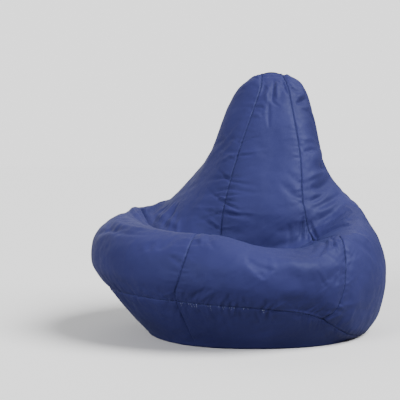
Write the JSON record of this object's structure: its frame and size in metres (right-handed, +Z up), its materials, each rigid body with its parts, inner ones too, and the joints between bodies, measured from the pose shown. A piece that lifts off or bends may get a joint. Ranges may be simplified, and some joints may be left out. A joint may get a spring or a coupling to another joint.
{
  "type": "bean bag chair",
  "caption": "High-backed bean bag chair with a bulging front roll, side arms and a tapering backrest, sewn from fabric panels over a bead-filled liner, with a base zip and a carry loop.",
  "frame": {"origin": "on the floor, under the centre of the bounding box", "axes": "the sitter faces -Y, the backrest is towards +Y, +X is to the right of someone who stands in front of the chair, +Z is up"},
  "size_m": [0.9482, 0.9379, 0.833],
  "materials": {
    "cover_fabric": "satin",
    "liner_fabric": "matte",
    "bead_fill": "matte",
    "zip_tape": "matte",
    "zip_teeth": "satin",
    "zip_metal": "satin",
    "webbing": "matte",
    "label": "satin"
  },
  "bodies": {
    "bag": {"seat_panel": "cover_fabric", "back_panel": "cover_fabric", "side_panel_left": "cover_fabric", "side_panel_right": "cover_fabric", "rear_panel": "cover_fabric", "base_panel_front": "cover_fabric", "base_panel_rear": "cover_fabric", "handle_patch": "cover_fabric", "liner_front": "liner_fabric", "liner_rear": "liner_fabric", "bead_fill": "bead_fill", "zip_tape_front": "zip_tape", "zip_tape_rear": "zip_tape", "zip_teeth_front": "zip_teeth", "zip_teeth_rear": "zip_teeth", "zip_stop_closed": "zip_metal", "zip_stop_open": "zip_metal", "handle_tab": "webbing", "care_label": "label"},
    "zip_slider": {"zip_slider": "zip_metal"},
    "carry_handle": {"carry_handle": "webbing"}
  },
  "joints": [
    {"name": "zip_slide", "type": "slide", "parent": "bag", "child": "zip_slider", "axis": [-0.5736, -0.8192, 0], "range_m": [0, 0.374]},
    {"name": "handle_swing", "type": "hinge", "parent": "bag", "child": "carry_handle", "pos_m": [0.12621, 0.4005, 0.78047], "axis": [1, 0, 0], "range_deg": [0, 120]}
  ]
}
